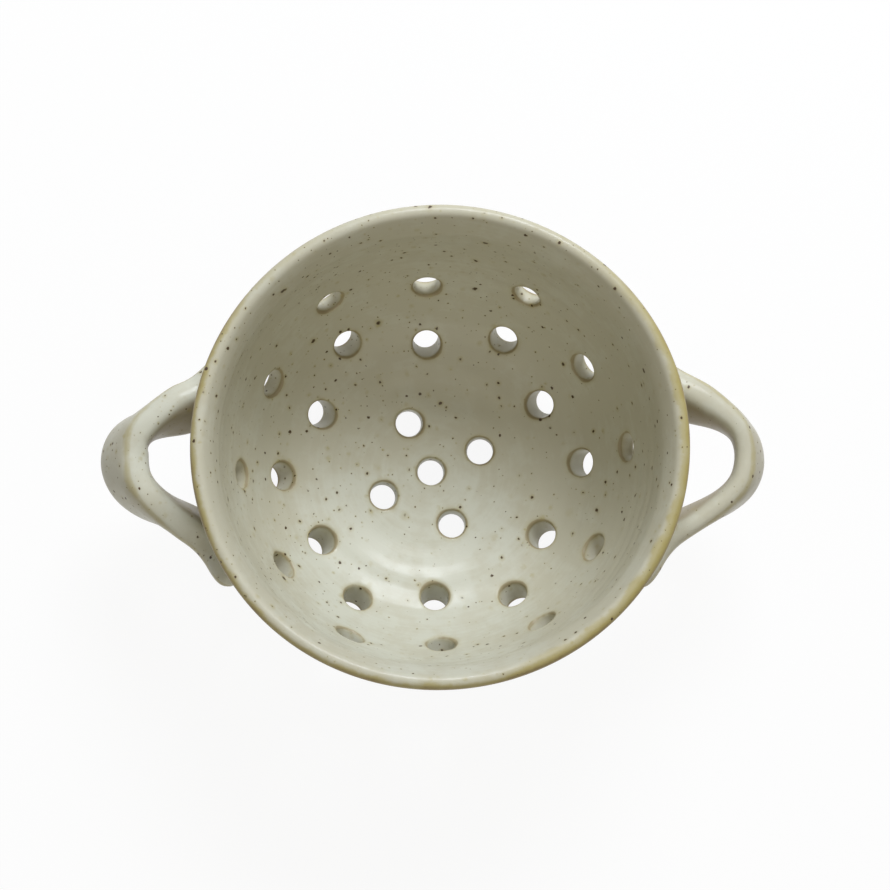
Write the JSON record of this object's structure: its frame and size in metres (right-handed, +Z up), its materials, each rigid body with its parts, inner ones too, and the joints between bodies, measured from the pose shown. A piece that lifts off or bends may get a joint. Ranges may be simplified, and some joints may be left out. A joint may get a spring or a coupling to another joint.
{
  "type": "berry bowl",
  "caption": "Deep round stoneware bowl pierced with drain holes, on a low foot ring, with a looped strap handle at each side, for rinsing, draining and serving berries.",
  "frame": {"origin": "centre of the foot ring's standing face, on the bowl's axis", "axes": "+Z up along the bowl's axis, +X through the right handle as the picture shows it, +Y away from the camera"},
  "size_m": [0.216, 0.1498, 0.084],
  "materials": {
    "speckled_glaze": "satin gloss oatmeal glaze with iron speckles, breaking tan on edges",
    "bare_stoneware": "unglazed fired clay"
  },
  "bodies": {
    "root": {"bowl_body": "speckled_glaze", "foot_ring": "bare_stoneware", "left_handle": "speckled_glaze", "right_handle": "speckled_glaze"}
  },
  "joints": []
}
